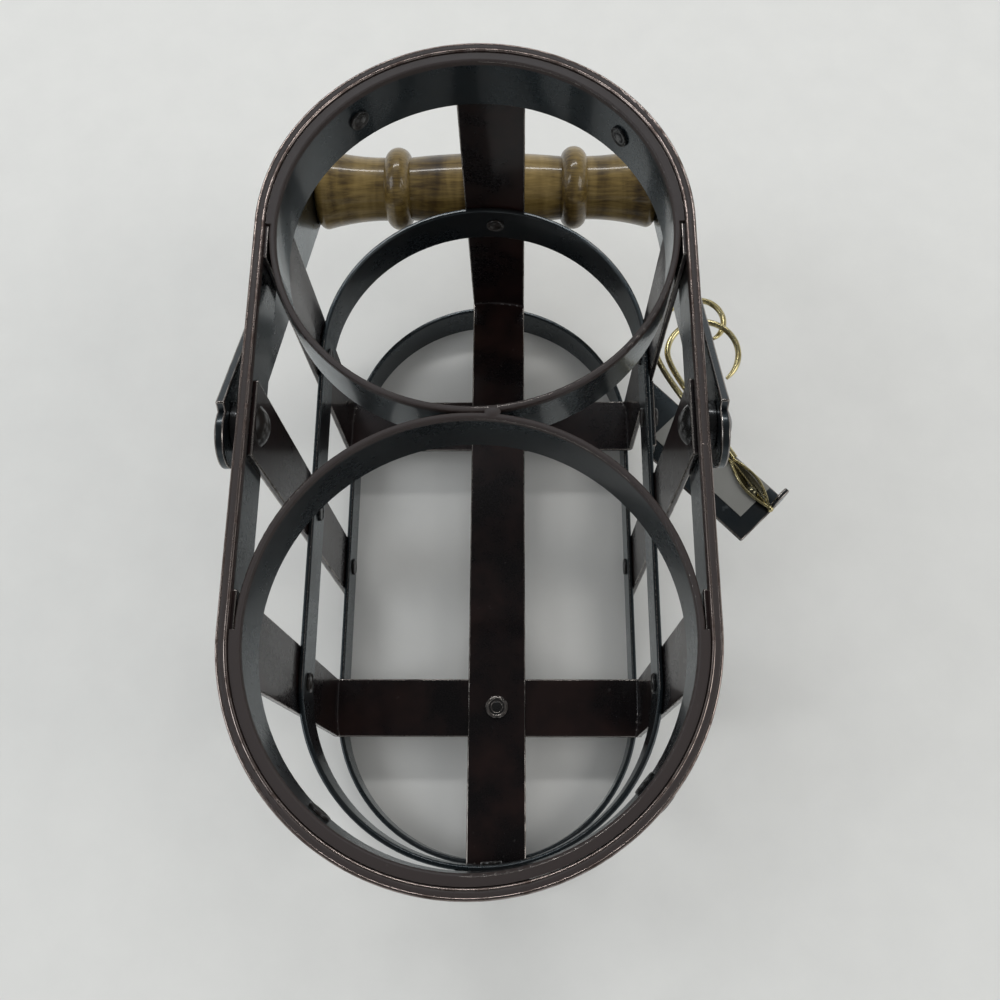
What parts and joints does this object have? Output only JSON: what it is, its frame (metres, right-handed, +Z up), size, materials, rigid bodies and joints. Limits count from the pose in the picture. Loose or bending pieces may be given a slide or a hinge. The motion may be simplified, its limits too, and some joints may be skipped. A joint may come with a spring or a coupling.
{
  "type": "bottle caddy",
  "caption": "Round-ended riveted strap caddy with bottle rings, a swinging bail with a turned wooden grip and a brass leaf and tendril on a side bracket.",
  "frame": {"origin": "floor point under the middle of the whole object's bounding box", "axes": "+Y along the caddy towards the end where the grip hangs, +X towards the side with the ornament, +Z up"},
  "size_m": [0.1438, 0.2198, 0.1397],
  "materials": {
    "hoop_paint": "gloss dark bronze",
    "strap_paint": "gloss dark red-brown",
    "bail_paint": "gloss dark bronze",
    "rivet_paint": "gloss dark bronze",
    "turned_wood": "lacquered",
    "pale_brass": "polished"
  },
  "bodies": {
    "frame": {"top_band": "hoop_paint", "bottle_ring_far": "hoop_paint", "bottle_ring_near": "hoop_paint", "mid_hoop": "hoop_paint", "foot_hoop": "hoop_paint", "long_strap": "strap_paint", "cross_strap_far": "strap_paint", "cross_strap_near": "strap_paint", "middle_riser_right": "strap_paint", "middle_riser_left": "strap_paint", "ring_rivets": "rivet_paint", "mid_hoop_rivets": "rivet_paint", "foot_hoop_rivets": "rivet_paint", "bracket_rivet": "rivet_paint", "ring_weld": "hoop_paint", "base_rivets": "rivet_paint", "pivot_rivet_right": "rivet_paint", "pivot_spacer_right": "rivet_paint", "pivot_rivet_left": "rivet_paint", "pivot_spacer_left": "rivet_paint", "ornament_bracket": "hoop_paint", "ornament_leaf": "pale_brass", "leaf_rivet": "pale_brass", "ornament_tendril": "pale_brass"},
    "bail": {"bail_arm_right": "bail_paint", "bail_arm_left": "bail_paint", "grip_screw_right": "rivet_paint", "grip_screw_left": "rivet_paint", "grip": "turned_wood"}
  },
  "joints": [
    {"name": "bail_swing", "type": "hinge", "parent": "frame", "child": "bail", "pos_m": [-0.01428, -0.0114, 0.1295], "axis": [1, 0, 0], "range_deg": [0, 241.7]}
  ]
}
